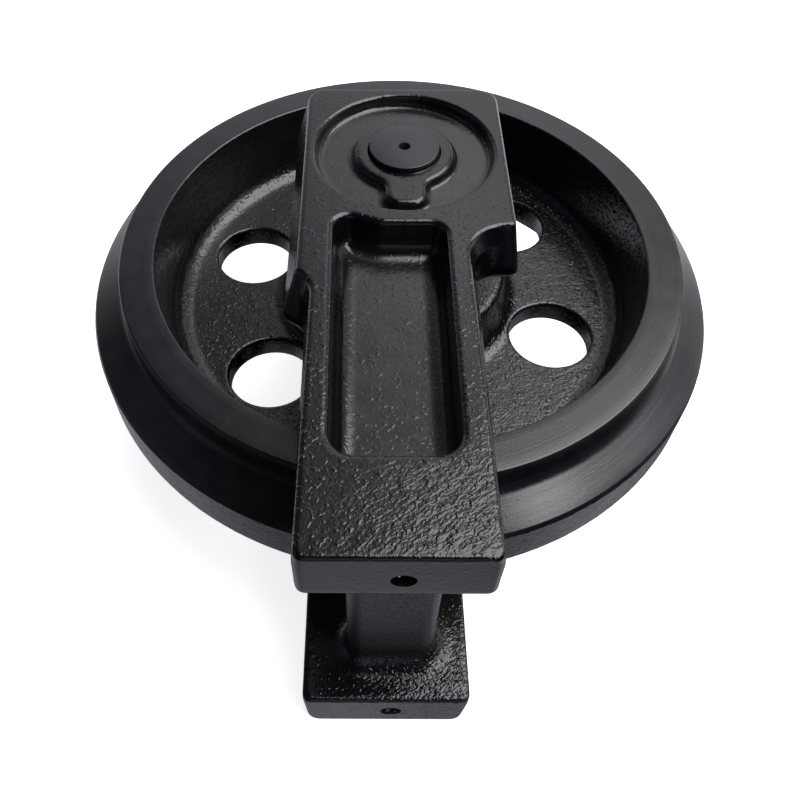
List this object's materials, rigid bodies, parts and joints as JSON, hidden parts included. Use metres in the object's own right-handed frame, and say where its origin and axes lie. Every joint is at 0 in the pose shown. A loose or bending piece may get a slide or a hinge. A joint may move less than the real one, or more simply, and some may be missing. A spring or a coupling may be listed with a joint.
{
  "type": "excavator front idler",
  "caption": "Front idler of a small excavator track: a flanged cast wheel with a holed web, turning on a fixed shaft between two cast carrier brackets.",
  "frame": {"origin": "centre of the assembly's box on the plane it lies on, which is the outer face of the lower bracket; the axle stands 26.35 mm from it along +Y", "axes": "+Z along the axle from the lower bracket to the upper one, -Y toward the brackets' tails, where the recoil spring's yoke is bolted, +X to the right seen from the tails"},
  "size_m": [0.4, 0.4526, 0.2375],
  "materials": {
    "black_painted_casting": "semi-gloss black paint over rough cast iron",
    "black_painted_wheel": "semi-gloss black paint, rough web, turned rim and running surface",
    "shaft_steel": "turned steel with a thin coat of black paint on its ends",
    "pin_steel": "dark steel, painted over",
    "bush_bronze": "bronze bearing alloy, bored",
    "seal_ring_iron": "lapped white iron",
    "seal_rubber": "black nitrile rubber"
  },
  "bodies": {
    "carrier": {"bracket_upper": "black_painted_casting", "bracket_lower": "black_painted_casting", "idler_shaft": "shaft_steel", "oil_plug": "pin_steel", "lock_pin_upper": "pin_steel", "lock_pin_lower": "pin_steel", "static_seal_ring_upper": "seal_ring_iron", "static_seal_ring_lower": "seal_ring_iron", "static_toric_upper": "seal_rubber", "static_toric_lower": "seal_rubber", "shaft_o_ring_upper": "seal_rubber", "shaft_o_ring_lower": "seal_rubber"},
    "wheel": {"idler_wheel": "black_painted_wheel", "bush_upper": "bush_bronze", "bush_lower": "bush_bronze", "rotating_seal_ring_upper": "seal_ring_iron", "rotating_seal_ring_lower": "seal_ring_iron", "rotating_toric_upper": "seal_rubber", "rotating_toric_lower": "seal_rubber"}
  },
  "joints": [
    {"name": "wheel_spin", "type": "hinge", "parent": "carrier", "child": "wheel", "pos_m": [0, 0.02635, 0.118], "axis": [0, 0, 1], "continuous": true}
  ]
}
